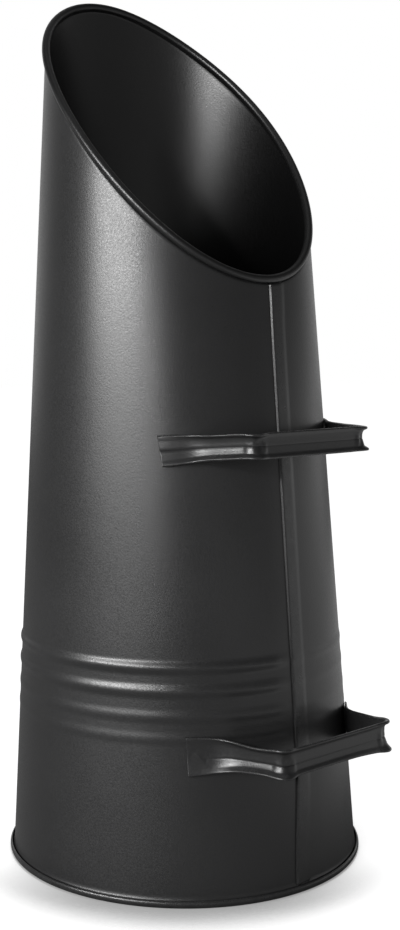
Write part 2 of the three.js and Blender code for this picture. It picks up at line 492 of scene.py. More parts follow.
@dataclass(frozen=True)
class DrawnWire:
    """Bare drawn steel wire, with die marks along it and a trace of grime."""

    name: str = "drawn_wire"
    slot: str = "wire_steel"
    steel: tuple[float, float, float] = (0.54, 0.55, 0.56)
    grime: tuple[float, float, float] = (0.2, 0.18, 0.16)
    grime_noise: tuple[float, ...] = (60, 4, 0.6)
    grime_range: tuple[float, float] = (0.45, 0.7)
    grime_cover: float = 0.6
    grime_dull: float = 0.5
    marks_noise: tuple[float, ...] = (700, 4, 0.7)
    marks_stretch: tuple[float, float, float] = (1, 1, 6)
    marks_bump: float = 0.2
    marks_depth: float = 0.1
    roughness: float = 0.3
    rough_marks: float = 0.15
    rough_grime: float = 0.25

    def material(self) -> bpy.types.Material:
        """Builds the wire's steel.

        Returns:
            The material.
        """
        made, recipe = new_material(self.name)
        where = recipe.place()
        marks = recipe.noise(recipe.stretched(where, self.marks_stretch), *self.marks_noise)
        dirt = recipe.ramp(recipe.noise(where, *self.grime_noise), *self.grime_range)
        sockets = {
            "Base Color": recipe.mixed(dirt * self.grime_cover, self.steel, self.grime),
            "Metallic": 1 - dirt * self.grime_dull,
            "Roughness": self.roughness + marks * self.rough_marks + dirt * self.rough_grime,
            "Normal": recipe.bumped(marks, self.marks_bump, self.marks_depth),
        }
        recipe.skinned(sockets)
        return made


# ---------------------------------------------------------------- the rolled form
@dataclass(frozen=True)
class HodForm:
    """Leaning, tapered form of the body and the slanting line of its mouth.

    Angles run round from the seam. The taper and the lean are sideways travel per rise.
    """

    base_radius: float = 100
    taper: float = 0.0638
    lean: float = 0.0245
    sheet: float = 0.7
    mouth_height: float = 414.6
    mouth_slant: float = 82.8
    mouth_waves: tuple[float, ...] = (-5.4, -1, 0.4)
    mouth_turn: float = math.radians(-5.5)

    def wall(self, z: np.ndarray | float) -> np.ndarray:
        """Outside radius of the plain wall at a height."""
        return self.base_radius - self.taper * np.asarray(z, float)

    def at(self, radius: np.ndarray, angle: np.ndarray, z: np.ndarray | float) -> np.ndarray:
        """Points round the leaning middle.

        Args:
            radius: Distance from the middle.
            angle: Angle round from the seam.
            z: Height.

        Returns:
            Points, with the axes last.
        """
        r, a, h = np.broadcast_arrays(radius, angle, np.asarray(z, float))
        return np.stack([r * np.cos(a) - self.lean * h, r * np.sin(a), h], -1)

    def mouth(self, angle: np.ndarray) -> np.ndarray:
        """Height of the curled edge's middle.

        Args:
            angle: Angles round from the seam.

        Returns:
            A height for each.
        """
        turned = angle - self.mouth_turn
        flat = self.mouth_height - self.mouth_slant * np.cos(turned)
        return flat + sum(w * np.cos((i + 2) * turned) for i, w in enumerate(self.mouth_waves))

    def mouth_middle(self, angle: np.ndarray) -> np.ndarray:
        """Points along the middle of the curled edge."""
        z = self.mouth(angle)
        return self.at(self.wall(z) - self.sheet / 2, angle, z)

    def mouth_frame(self, angle: np.ndarray) -> tuple[np.ndarray, np.ndarray, np.ndarray]:
        """Middle of the curled edge, and its directions out of the wall and up in it.

        Args:
            angle: Angles round from the seam.

        Returns:
            Points, outward directions and upward directions.
        """
        step = 1e-3
        along = unit(self.mouth_middle(angle + step) - self.mouth_middle(angle - step))
        overhang = self.taper + self.lean * np.cos(angle)
        out = np.stack([np.cos(angle), np.sin(angle), overhang], -1)
        out = unit(out - along * np.sum(out * along, -1, keepdims=True))
        return self.mouth_middle(angle), out, unit(np.cross(out, along))


@dataclass(frozen=True)
class Stations:
    """Places round the body: close together at the seam, even elsewhere.

    The seam's own places take over from a few even ones on each side. Its near edge is a crisp
    bevel, which is steeper low down, and its far side is soft. It drifts aside near the floor.
    """

    sides: int = 264
    left_out: int = 5
    seam_width: float = 9
    near_side: tuple[float, ...] = (-1.8, -1.1, -0.6, -0.2, 0, 0.2, 0.42, 0.45, 0.55, 0.75, 1.1, 2)
    crown: tuple[float, ...] = (-1.2, 0, 1.2)
    far_side: tuple[float, ...] = (-2, -1.4, -1, -0.6, -0.2, 0.2, 0.6, 1, 1.4, 1.8, 2.2, 2.6)
    bevel: tuple[float, float] = (0.45, 1.1)
    bevel_share: float = 0.85
    soft_side: float = 4
    soft_beyond: float = 0.3
    soft_share: float = 0.32
    tight: float = 0.2
    tight_heights: tuple[float, float] = (60, 200)
    drift: float = -5
    drift_top: float = 75

    def plain(self) -> int:
        """Number of even stations that are kept."""
        return self.sides - 2 * self.left_out + 1

    def offsets(self) -> np.ndarray:
        """Stations that run beside the seam.

        Returns:
            Their distances from its middle.
        """
        half = self.seam_width / 2
        near, far = np.array(self.near_side) - half, half + np.array(self.far_side)
        return np.concatenate([near, self.crown, far])

    def seam_offsets(self) -> np.ndarray:
        """Sideways part of each station, along the wall."""
        return np.concatenate([self.offsets(), np.zeros(self.plain())])

    def on_seam(self) -> np.ndarray:
        """True for the stations that run beside the seam."""
        return np.arange(len(self.seam_offsets())) < len(self.offsets())

    def angles(self, radius: np.ndarray | float, z: np.ndarray | float) -> np.ndarray:
        """Angle of every station.

        Args:
            radius: Radius of the wall there.
            z: Height, of the row or of each station.

        Returns:
            Angles round from the seam's middle.
        """
        first = 2 * math.pi * self.left_out / self.sides
        even = np.linspace(first, 2 * math.pi - first, self.plain())
        base = np.concatenate([np.zeros(len(self.offsets())), even])
        beside = self.on_seam()
        offset = self.seam_offsets() + self.drift * eased(z, self.drift_top, 0) * beside
        run = self.seam_offsets() + self.seam_width / 2
        share = self.tight + (1 - self.tight) * eased(z, *self.tight_heights)
        bevel = beside & (run > 0) & (run <= self.bevel[0])
        return base + (offset - np.where(bevel, run * (1 - share), 0)) / radius

    def at_mouth(self, form: HodForm) -> np.ndarray:
        """Angle of every station where it meets the curled edge."""
        low = form.mouth_height - form.mouth_slant
        return self.angles(form.wall(low), low)

    def raised(self) -> np.ndarray:
        """Share of the seam's height at every station.

        Returns:
            From 0 on the plain wall to nearly 1 on the seam's crest.
        """
        offset = self.seam_offsets()
        run = offset + self.seam_width / 2
        crisp = self.bevel_share * np.clip(run / self.bevel[0], 0, 1)
        left = np.clip((run - self.bevel[0]) / (self.bevel[1] - self.bevel[0]), 0, 1)
        crisp = crisp + (1 - self.bevel_share) * (1 - (1 - left) ** 2)
        middle = self.seam_width / 2 + self.soft_beyond
        far = middle + self.soft_side / 2
        soft = eased(offset, far, middle - self.soft_side / 2)
        slope = np.clip((far - offset) / (far + self.seam_width / 2), 0, 1)
        both = self.soft_share * soft + (1 - self.soft_share) * slope
        return np.where(self.on_seam(), crisp * both, 0)


# ---------------------------------------------------------------- body
@dataclass
class Rows:
    """Rows of a skin, one point for each station, in the order in which they are joined."""

    points: list[np.ndarray] = field(default_factory=list)
    wear_and_sheen: list[np.ndarray] = field(default_factory=list)
    # share of painted shade, a darker black, on each point
    inside: list[np.ndarray] = field(default_factory=list)

    def add(self, row: np.ndarray, wear_sheen: float | np.ndarray = 0, depth: float = 0) -> None:
        """Keeps one row.

        Args:
            row: Its points.
            wear_sheen: How much they are rubbed and carry painted sheen.
            depth: Share of painted shade on them, from 0 to 1.
        """
        self.points.append(row)
        self.wear_and_sheen.append(np.broadcast_to(wear_sheen, len(row)))
        self.inside.append(np.full(len(row), depth))

    def joined(self, name: str) -> bpy.types.Object:
        """Joins the rows station by station, and the last station to the first."""
        points, wear_and_sheen, inside = (np.stack(x, 1) for x in (self.points, self.wear_and_sheen, self.inside))
        return lofted(name, points, wear_and_sheen, Ends.JOINED, inside)


@dataclass
class BodyShell:
    """The rolled sheet: beads, locked seam, curled mouth and flared foot in one skin."""

    form: HodForm
    stations: Stations
    paint: bpy.types.Material
    slot: str
    seam_raise: float = 1.25
    crest: tuple[float, float] = (0.5, 0.999)
    crest_rub: float = 0.4
    bead_heights: tuple[float, ...] = (87.6, 98.9, 112.1, 124.3)
    bead_rises: tuple[float, ...] = (0.27, 0.38, 0.76, 1.0)
    bead_widths: tuple[float, ...] = (4, 4.2, 4.4, 4.2)
    bead_rub: float = 0.25
    over_seam: float = 0.75
    over_angles: tuple[float, float] = (0.2, 0.07)
    bead_fade: float = 0.65
    fade_out: tuple[float, float] = (0, 0.15)
    fade_in: tuple[float, float] = (2.2, 1.2)
    hem: tuple[tuple[float, float], ...] = ((-1.2, 1.05), (0, 1.1), (0.05, 3.2))
    hem_seam: float = 0.8
    flare: float = 0.4
    flare_power: float = 2.4
    flare_top: float = 6.4
    flare_foot: float = 4
    foot_rows: int = 9
    low_rows: tuple[float, ...] = (*range(9, 46, 3), 52, 60, 68, 75, 80)
    bead_rows: tuple[float, float, float] = (81.2, 133, 0.8)
    top_rows: tuple[float, float] = (136, 140)
    slanting: tuple[tuple[float, float, int], ...] = ((0.03, 0.9, 30), (0.92, 1, 6))
    turned_from: float = 0.85
    wire_radius: float = 1.3
    clearance: float = 0.3
    neck: float = 3.2
    neck_run: float = 1.2
    neck_steps: int = 7
    neck_pull: float = 1.5
    neck_end: int = 4
    curl_start: float = 228
    curl_end: float = -65
    curl_steps: int = 30
    # share of painted shade, a darker black, on the curled edge
    curl_painted_shade: float = 0.8

    def bead(self, z: np.ndarray | float) -> np.ndarray:
        """How far the ring beads stand out.

        Args:
            z: Height.

        Returns:
            Distance from the plain wall.
        """
        beads = zip(self.bead_heights, self.bead_rises, self.bead_widths)
        return sum(rise * hump(z, crest, width) for crest, rise, width in beads)

    def bead_share(self, angle: np.ndarray) -> np.ndarray:
        """How strongly the beads are pressed: weakly over the seam and beyond it.

        Args:
            angle: Angles round from the seam.

        Returns:
            A share for each, up to 1.
        """
        a = (angle + math.pi) % (2 * math.pi) - math.pi
        over = 1 - self.over_seam * eased(np.abs(a), *self.over_angles)
        return over * (1 - self.bead_fade * eased(a, *self.fade_out) * eased(a, *self.fade_in))

    def flared(self, z: np.ndarray | float) -> np.ndarray:
        """How far the foot flares out at a height."""
        t = (self.flare_top - np.asarray(z, float)) / (self.flare_top - self.flare_foot)
        return self.flare * np.clip(t, 0, 1) ** self.flare_power

    def wall_heights(self) -> np.ndarray:
        """Heights of the rows that are level all round."""
        foot = np.linspace(self.flare_foot, self.flare_top, self.foot_rows)
        return np.concatenate([foot, self.low_rows, np.arange(*self.bead_rows), self.top_rows])

    def wall_row(self, z: np.ndarray | float, angle: np.ndarray, out: np.ndarray) -> np.ndarray:
        """One row of points on the outer wall, moved outward."""
        return self.form.at(self.form.wall(z) + out, angle, z)

    def pressed(self, z: float) -> tuple[np.ndarray, np.ndarray]:
        """Angle of every station at a height, and how far the beads stand out there."""
        turned = self.stations.angles(float(self.form.wall(z)), z)
        return turned, self.bead(z) * self.bead_share(turned)

    def slanting_rows(self, out: np.ndarray, angle: np.ndarray) -> list[np.ndarray]:
        """Rows from the beads up to the neck of the curled edge.

        Args:
            out: How far each station stands out of the plain wall.
            angle: Angle of each station where it meets the curled edge.

        Returns:
            Rows of points, from the lowest up.
        """
        middle, _, up = self.form.mouth_frame(angle)
        neck = middle - up * (self.neck + self.neck_run)
        top = neck[:, 2]
        drift = np.arctan2(neck[:, 1], neck[:, 0] + self.form.lean * top) - angle
        drift = (drift + math.pi) % (2 * math.pi) - math.pi
        start = self.top_rows[-1]
        rows = []
        for t in np.concatenate([np.linspace(*part) for part in self.slanting]):
            z = start + (top - start) * t
            turn = drift * eased(t, self.turned_from, 1)
            rows.append(self.wall_row(z, self.stations.angles(self.form.wall(z), z) + turn, out))
        return rows

    def curl(self, edge: tuple[np.ndarray, ...], outer_face: bool) -> list[np.ndarray]:
        """Rows of the neck and the curled edge on one face of the sheet.

        Args:
            edge: Middle, outward and upward directions of the edge.
            outer_face: True for the face away from the wire, which starts inside the scuttle.

        Returns:
            Rows of points, from the neck to the raw edge.
        """
        middle, out, up = edge
        side = self.form.sheet / 2
        radius = self.wire_radius + self.clearance + (self.form.sheet if outer_face else 0)
        start = math.radians(self.curl_start)
        first = np.array([-side if outer_face else side, -self.neck])
        last = radius * np.array([math.cos(start), math.sin(start)])
        away = np.array([0, self.neck_pull])
        onto = self.neck_pull * np.array([math.sin(start), -math.cos(start)])
        steps = np.linspace(0, 1, self.neck_steps)[:-1]
        rows = [joining((first, last), (away, onto), t) for t in steps]
        for a in np.radians(np.linspace(self.curl_start, self.curl_end, self.curl_steps)):
            rows.append(radius * np.array([math.cos(a), math.sin(a)]))
        return [middle + out * x + up * y for x, y in rows]

    def outer_face(self, rows: Rows, mouth_angle: np.ndarray) -> None:
        """Adds the hem, and the outside up to the neck of the curled edge.

        Args:
            rows: The skin's rows so far.
            mouth_angle: Angle of each station where it meets the curled edge.
        """
        share = self.stations.raised()
        raised = share * self.seam_raise
        seam_rub = ((share > self.crest[0]) & (share < self.crest[1])) * self.crest_rub
        hook = float(self.form.wall(self.flare_foot)) + self.flare
        for beyond, z in self.hem:
            rows.add(self.form.at(hook + beyond, self.stations.angles(hook + beyond, z), z))
        for z in self.wall_heights():
            foot = float(eased(z, self.flare_foot, self.flare_foot + self.hem_seam))
            turned, bead = self.pressed(z)
            out = bead + np.maximum(self.flared(z), raised * foot)
            rows.add(self.wall_row(z, turned, out), seam_rub + bead * self.bead_rub)
        for row in self.slanting_rows(raised, mouth_angle):
            rows.add(row, seam_rub)

    def curled_edge(self, rows: Rows, mouth_angle: np.ndarray) -> None:
        """Adds both faces of the curl. The seam fades into its neck.

        Args:
            rows: The skin's rows so far.
            mouth_angle: Angle of each station where it meets the curled edge.
        """
        edge = self.form.mouth_frame(mouth_angle)
        raised = self.stations.raised() * self.seam_raise
        for i, row in enumerate(self.curl(edge, False)):
            fade = max(0, 1 - i / self.neck_end)
            # past its neck the curl is painted darker, a painted shade
            black = self.curl_painted_shade * (i >= self.neck_end)
            rows.add(row + edge[1] * (raised * fade)[:, None], 0, black)
        # the curl's back face is painted darker too, fully where it turns into the inside
        back = self.curl(edge, True)[::-1]
        for i, row in enumerate(back):
            rows.add(row, 0, 1 if i > len(back) - self.neck_end else self.curl_painted_shade)

    def inner_face(self, rows: Rows, mouth_angle: np.ndarray) -> None:
        """Adds the inside, from the neck down to the hem.

        Args:
            rows: The skin's rows so far.
            mouth_angle: Angle of each station where it meets the curled edge.
        """
        inward = np.full(len(mouth_angle), -self.form.sheet)
        # the inside is painted the full darker black, a painted shade
        for row in reversed(self.slanting_rows(inward, mouth_angle)):
            rows.add(row, 0, 1)
        for z in self.wall_heights()[::-1]:
            turned, bead = self.pressed(z)
            rows.add(self.wall_row(z, turned, bead + inward), 0, 1)
        low = self.hem[0][1]
        turned = self.stations.angles(self.form.base_radius, low)
        rows.add(self.wall_row(low, turned, inward), 0, 1)

    def build(self) -> bpy.types.Object:
        """Builds the whole sheet: up the outside, round the curl and down the inside.

        Returns:
            The body.
        """
        rows, mouth_angle = Rows(), self.stations.at_mouth(self.form)
        self.outer_face(rows, mouth_angle)
        self.curled_edge(rows, mouth_angle)
        self.inner_face(rows, mouth_angle)
        return rows.joined("body_skin")

    def dress(self) -> bpy.types.Object:
        """Builds, paints and fixes the body in the frame."""
        return fixed(self.build(), self.paint, "body_shell")


@dataclass
class MouthWire:
    """Steel hoop inside the curled edge."""

    form: HodForm
    stations: Stations
    steel: bpy.types.Material
    slot: str
    radius: float = 1.3
    sides: int = 20

    def build(self) -> bpy.types.Object:
        """Sweeps the wire round the mouth.

        Returns:
            The hoop.
        """
        middle, out, up = self.form.mouth_frame(self.stations.at_mouth(self.form))
        turns = np.linspace(0, 2 * math.pi, self.sides, endpoint=False)
        rows = [middle + (out * math.cos(a) + up * math.sin(a)) * self.radius for a in turns]
        loops = np.stack(rows, 1)
        return lofted("mouth_hoop", loops, np.zeros(loops.shape[:2]), Ends.JOINED)

    def dress(self) -> bpy.types.Object:
        """Builds the hoop and fixes it in the frame."""
        return fixed(self.build(), self.steel, "mouth_wire")


# ---------------------------------------------------------------- base
@dataclass
class BaseDisc:
    """Round base whose rim is rolled up and in over the foot of the body."""

    paint: bpy.types.Material
    slot: str
    radius: float = 102.2
    sheet: float = 0.7
    corner: float = 2.2
    corner_rub: float = 0.35
    widest: float = 2.3
    top: float = 4.15
    lip: float = 101.2
    lip_round: float = 0.12
    lip_depth: float = 0.5
    # rub on the rolled rim's crown, mostly a painted sheen that brightens its highlight
    crown_sheen: float = 0.7
    flat_rings: tuple[float, ...] = (14, 40, 70)
    outer_rings: tuple[float, float] = (6, 0.6)
    round_steps: int = 9
    sides: int = 264

    def profile(self) -> list[tuple[float, float, float]]:
        """Radius, height and share of wear and painted sheen of the points from the underside's
        middle round to the floor.

        Returns:
            The points in order.
        """
        low = self.radius - self.corner
        flat = [*self.flat_rings, low - self.outer_rings[0]]
        steps = np.linspace(0, math.pi / 2, self.round_steps)
        crown, rise = self.radius - self.lip, self.top - self.widest
        inner, hollow = self.lip - self.lip_round, self.corner - self.sheet
        points = [(r, 0.0, 0.0) for r in (*flat, low - self.outer_rings[1])]
        for a in steps:
            height = self.corner * (1 - math.cos(a))
            points.append((low + self.corner * math.sin(a), height, self.corner_rub))
        for a in steps:
            height = self.widest + rise * math.sin(a)
            points.append((self.lip + crown * math.cos(a), height, self.crown_sheen))
        points += [(inner, self.top - self.lip_round, 0), (inner, self.top - self.lip_depth, 0)]
        points.append((self.radius - self.sheet, self.widest, 0))
        for a in steps[::-1]:
            height = self.sheet + hollow * (1 - math.cos(a))
            points.append((low + hollow * math.sin(a), height, 0))
        return points + [(r, self.sheet, 0.0) for r in flat[::-1]]

    def build(self) -> bpy.types.Object:
        """Turns the profile round the middle and closes both flat middles.

        Returns:
            The base.
        """
        profile = self.profile()
        mesh = bmesh.new()
        turns = np.linspace(0, 2 * math.pi, self.sides, endpoint=False)
        rings = [
            [mesh.verts.new((r * MM * math.cos(a), r * MM * math.sin(a), z * MM)) for a in turns]
            for r, z, _ in profile
        ]
        wear_and_sheen = [wear_sheen for _, _, wear_sheen in profile for _ in turns]
        for low, high in zip(rings, rings[1:]):
            for i in range(self.sides):
                k = (i + 1) % self.sides
                mesh.faces.new((low[i], low[k], high[k], high[i]))
        for ring, z in ((rings[0], 0.0), (rings[-1], self.sheet * MM)):
            middle = mesh.verts.new((0, 0, z))
            wear_and_sheen.append(0)
            for i in range(self.sides):
                mesh.faces.new((ring[i], ring[(i + 1) % self.sides], middle))
        return finished("base_skin", mesh, np.array(wear_and_sheen))

    def dress(self) -> bpy.types.Object:
        """Builds the base and fixes it in the frame."""
        return fixed(self.build(), self.paint, "base_disc")


# ---------------------------------------------------------------- handles
@dataclass(frozen=True)
class StripSection:
    """Section of a pressed strip: places across it, and how far they stand out there.

    Places run from -1 at the lower lip to 1 at the upper one.
    """

    across: tuple[float, ...]
    outward: tuple[float, ...]
    web: float = 0.5
    lip: float = 0.5
    lip_zone: tuple[float, float] = (0.66, 0.92)
    floor: float = 0.9
    crease: float = 0
    groove: float = 0.4
    groove_width: float = 0.09
    groove_clear: float = 1.4
    crowding: float = 0.92
    steps: int = 27
    cap: int = 6

    def places(self) -> np.ndarray:
        """Places across the strip, closer together at its lips and its crease.

        Returns:
            Rising places.
        """
        plain = np.sin(np.linspace(-1, 1, self.steps) * math.pi / 2 * self.crowding)
        plain = plain / plain[-1]
        plain = plain[np.abs(plain - self.crease) > self.groove_width * self.groove_clear]
        fine = self.crease + self.groove_width * np.array([-1, -0.66, -0.33, 0, 0.33, 0.66, 1])
        return np.sort(np.concatenate([plain, fine]))

    def centre(self, v: np.ndarray) -> np.ndarray:
        """How far the middle of the steel stands out, across the strip."""
        sunk = self.groove * np.clip(1 - np.abs(v - self.crease) / self.groove_width, 0, 1)
        return curve_through(self.across, self.outward, v) - sunk

    def half(self, v: np.ndarray) -> np.ndarray:
        """Half the thickness across the strip, fuller along the rolled lips."""
        return self.web + (self.lip - self.web) * eased(np.abs(v), *self.lip_zone)


@dataclass(frozen=True)
class Dent:
    """Dent or swelling by a near corner: where along the strip, where across it, how high."""

    along: tuple[float, float]
    across: tuple[float, float]
    height: float

    def at(self, from_corner: float, v: np.ndarray) -> np.ndarray:
        """Its height at a distance from the corner, across the strip."""
        return self.height * bell(v, *self.across) * hump(from_corner, *self.along)


@dataclass(frozen=True)
class WeldMark:
    """Slanting print of the spot welder on a near foot, with a faint ring round it."""

    along: float = 6.5
    down: float = 0.5
    spread: tuple[float, float] = (3.2, 1.0)
    height: float = 0.4
    ring: float = 4.2
    ring_spread: float = math.sqrt(0.5)
    ring_height: float = 0.07

    def at(self, along: float, rise: np.ndarray) -> np.ndarray:
        """Height of the mark.

        Args:
            along: Distance from the foot's end.
            rise: Height above the foot's middle.

        Returns:
            How far the face stands out there.
        """
        x, y = along - self.along, rise + self.down
        down, over = (x + y) / math.sqrt(2), (x - y) / math.sqrt(2)
        print_height = bell(over, 0, self.spread[0]) * bell(down, 0, self.spread[1])
        ring = bell(np.hypot(x, y), self.ring, self.ring_spread)
        return self.height * print_height - self.ring_height * ring


@dataclass(frozen=True)
class StripPlan:
    """What changes along a strip, by station, and how far along it the near corner is."""

    path: np.ndarray
    along: np.ndarray
    run: np.ndarray
    near_end: np.ndarray
    formed: np.ndarray
    sag: np.ndarray
    tall: np.ndarray
    flare: np.ndarray
    corner_at: float


@dataclass
class StripHandle:
    """Pressed strip handle: two flattened feet, two legs and a grooved grip.

    A foot becomes a channel over the formed length. The pairs that are handed to eased() or
    hump() are distances along the strip or, for the zones, across it.
    """

    form: HodForm
    paint: bpy.types.Material
    slot: str
    name: str
    node: str
    height: float
    reach: float
    grip: float
    span: float
    grip_height: float
    foot_height: float
    sags: tuple[float, float]
    grip_section: StripSection
    foot_section: StripSection
    pinch: float
    foot_bend: float
    closed: float
    slant: float
    formed_length: float = 35
    far_flare: float = 0
    weld_mark: WeldMark | None = None
    dent: float = 0.9
    dents: tuple[Dent, ...] = (
        Dent((-3.2, 3.4), (-0.25, 0.45), 0.5),
        Dent((4.6, 2.6), (-0.25, 0.45), 0.6),
        Dent((1.1, 2.4), (0.2, 0.5), -1),
    )
    thickness: float = 1
    dish: float = 3.2
    gap: float = 0.3
    foot_length: float = 20
    foot_points: int = 40
    heel_lead: int = 12
    grip_bend: float = 2
    smoothing: int = 23
    heel_softened: tuple[float, float] = (24, 11)
    end_kept: tuple[float, float] = (3, 9)
    corner_kept: tuple[float, float] = (4, 9)
    turn_smoothing: int = 7
    spacing: float = 0.6
    end_places: tuple[float, ...] = (0.05, 0.15, 0.3, 0.45)
    end_round: float = 0.45
    end_thin: float = 0.02
    pinch_spread: float = 6
    flare_spread: float = 16
    flare_back: float = 2
    flare_power: float = 1.5
    closing: tuple[float, float] = (-2, 8)
    far_foot: tuple[float, float] = (0.5, 0.6)
    slant_run: float = 14
    # rub along the lips, partly a painted sheen
    edge_wear_sheen: float = 0.9
    edge_zone: tuple[float, float] = (1.6, 0.3)
    # painted highlight: lighter, smoother black on the near leg's lower flank
    flank_sheen: float = 0.75
    flank_zone: tuple[float, float] = (0.15, 0.35)
    flank_run: tuple[float, float] = (0.7, 0.45)

    def bend(
        self, before: np.ndarray, corner: np.ndarray, after: np.ndarray, radius: float
    ) -> np.ndarray:
        """Round that joins two straight runs at a corner.

        Args:
            before: A point on the first run.
            corner: Where the runs would meet.
            after: A point on the second run.
            radius: Radius of the round.

        Returns:
            Points along the round.
        """
        back, on = unit(before - corner), unit(after - corner)
        half = math.acos(float(np.clip(back @ on, -1, 1))) / 2
        centre = corner + unit(back + on) * radius / math.sin(half)
        start = corner + back * radius / math.tan(half) - centre
        end = corner + on * radius / math.tan(half) - centre
        sweep = math.atan2(start[0] * end[1] - start[1] * end[0], start @ end)
        turns = math.atan2(start[1], start[0]) + np.linspace(0, sweep, BEND_STEPS)
        return centre + radius * np.stack([np.cos(turns), np.sin(turns)], -1)

    def half_path(self) -> tuple[np.ndarray, int]:
        """Plan of the back face from the near foot's end to the middle of the grip.

        Returns:
            Points, and how many of them lie on the flat foot.
        """
        wall = float(self.form.wall(self.height))
        seat = wall + self.gap
        grip_x = wall + self.reach - self.dish - self.thickness
        grip_y = self.grip / 2 - self.dish - self.thickness
        turned = np.linspace(0, self.foot_length / seat, self.foot_points)
        turns = -math.asin(self.span / 2 / seat) + turned
        foot = seat * np.stack([np.cos(turns), np.sin(turns)], -1)
        corner, far = np.array([grip_x, -grip_y]), np.array([grip_x, grip_y])
        heel = self.bend(foot[-self.heel_lead], foot[-1], corner, self.foot_bend)
        way = unit(foot[-1] - foot[-2])
        kept = foot[: np.argmax(foot @ way > heel[0] @ way)]
        parts = kept, heel, self.bend(foot[-1], corner, far, self.grip_bend)
        return np.concatenate(parts), len(kept)

    def path(self) -> tuple[np.ndarray, np.ndarray, float]:
        """Plan of the back face from foot to foot: evenly spaced, with softened heels.

        Returns:
            Points, their distances along the strip, and the distance to the first corner.
        """
        half, on_foot = self.half_path()
        whole = np.concatenate([half, half[::-1] * [1, -1]])
        run = np.concatenate([[0], np.cumsum(np.linalg.norm(np.diff(whole, axis=0), axis=1))])
        length = run[-1]
        heel_at = run[on_foot + BEND_STEPS // 2]
        corner_at = float(run[len(half) - BEND_STEPS // 2 - 1])
        ends = np.array(self.end_places)
        even = np.linspace(0, length, int(length / self.spacing))
        even = np.unique(np.concatenate([even, ends, length - ends]))
        points = np.stack([np.interp(even, run, whole[:, k]) for k in (0, 1)], -1)
        near_end = np.minimum(even, length - even)
        soft = eased(np.abs(near_end - heel_at), *self.heel_softened)
        soft = soft * eased(near_end, *self.end_kept)
        soft = (soft * eased(np.abs(near_end - corner_at), *self.corner_kept))[:, None]
        smooth = moving_average(points, self.smoothing)
        return points * (1 - soft) + smooth * soft, even, corner_at

    def plan(self) -> StripPlan:
        """Works out the path and how the section changes along it.

        Returns:
            The plan.
        """
        path, run, corner_at = self.path()
        length = run[-1]
        near_end, first_half = np.minimum(run, length - run), run < length / 2
        straight = np.clip(near_end / self.formed_length, 0, 1)
        formed = np.where(first_half, eased(near_end, 0, self.formed_length), straight)
        to_corner = (length - self.grip) / 2
        squeeze = self.pinch * bell(near_end, corner_at, self.pinch_spread)
        taller = (self.grip_height - self.foot_height) / 2
        far_corner = length - corner_at - self.flare_back
        return StripPlan(
            path=path,
            along=unit(moving_average(np.gradient(path, run, axis=0), self.turn_smoothing)),
            run=run,
            near_end=near_end,
            formed=formed,
            sag=np.where(first_half, *self.sags) * np.maximum(0, 1 - near_end / to_corner),
            tall=self.foot_height / 2 + taller * formed - squeeze / 2,
            flare=self.far_flare * bell(run, far_corner, self.flare_spread),
            corner_at=corner_at,
        )

    def line(self, plan: StripPlan, i: int) -> tuple[np.ndarray, np.ndarray, np.ndarray]:
        """Middle line of the steel across the strip.

        Args:
            plan: The strip's plan.
            i: Station.

        Returns:
            How far the line stands out, half the thickness there, and the line's rise.
        """
        grip, foot, share = self.grip_section, self.foot_section, plan.formed[i]
        v = grip.places()
        from_corner = plan.near_end[i] - plan.corner_at
        start, full = (plan.run[-1] * share_of for share_of in self.far_foot)
        flat = float(eased(plan.run[i], start, full))
        seated = foot.centre(v) * (1 - flat) + foot.web * flat
        depth = 1 - self.closed * float(eased(from_corner, *self.closing))
        channel = grip.floor + (grip.centre(v) - grip.floor) * depth
        centre = seated * (1 - share) + channel * share
        centre = centre + self.dent * sum(dent.at(from_corner, v) for dent in self.dents)
        half = foot.half(v) * (1 - share) + grip.half(v) * share
        blunt = max(0.0, 1 - plan.near_end[i] / self.end_round)
        half = half * math.sqrt(max(self.end_thin, 1 - blunt**2))
        rise = v * (plan.tall[i] - half[-1])
        flared = np.maximum(0, -v) ** self.flare_power * plan.flare[i]
        return centre, half, rise - flared - plan.sag[i]

    def section(self, plan: StripPlan, i: int) -> np.ndarray:
        """Closed section: the face, the upper lip, the back and the lower lip.

        Args:
            plan: The strip's plan.
            i: Station.

        Returns:
            How far each point stands out, and its rise.
        """
        centre, half, rise = self.line(plan, i)
        slope = unit(np.stack([np.gradient(centre, rise), np.ones_like(rise)], -1))
        normal = np.stack([slope[:, 1], -slope[:, 0]], -1)
        mid, thick = np.stack([centre, rise], -1), half[:, None]
        cap = np.radians(np.linspace(0, 180, self.grip_section.cap + 2))[1:-1, None]
        top = mid[-1] + half[-1] * (np.cos(cap) * normal[-1] + np.sin(cap) * slope[-1])
        low = mid[0] - half[0] * (np.cos(cap) * normal[0] + np.sin(cap) * slope[0])
        face, rear = mid + normal * thick, mid - normal * thick
        if self.weld_mark:
            face = face + normal * self.weld_mark.at(plan.run[i], rise + plan.sag[i])[:, None]
        split = self.grip_section.cap // 2
        return np.concatenate([low[split:], face, top, rear[::-1], low[:split]])

    def standing(self, loop: np.ndarray, plan: StripPlan, i: int) -> np.ndarray:
        """Stands a section on the leaning body, with the near foot's end cut at a slant.

        Args:
            loop: The section's points.
            plan: The strip's plan.
            i: Station.

        Returns:
            The points in the frame.
        """
        along, here = plan.along[i], plan.path[i]
        front = np.array([along[1], -along[0]])
        inward = -self.form.taper * here / np.linalg.norm(here) - np.array([self.form.lean, 0])
        near = float(eased(plan.run[i], self.slant_run, 0))
        cut = -self.slant * loop[:, 1:] / plan.tall[i] * near
        flat = here + front * loop[:, :1] + inward * loop[:, 1:] + along * cut
        x = flat[:, 0] - self.form.lean * self.height
        return np.stack([x, flat[:, 1], self.height + loop[:, 1]], -1)

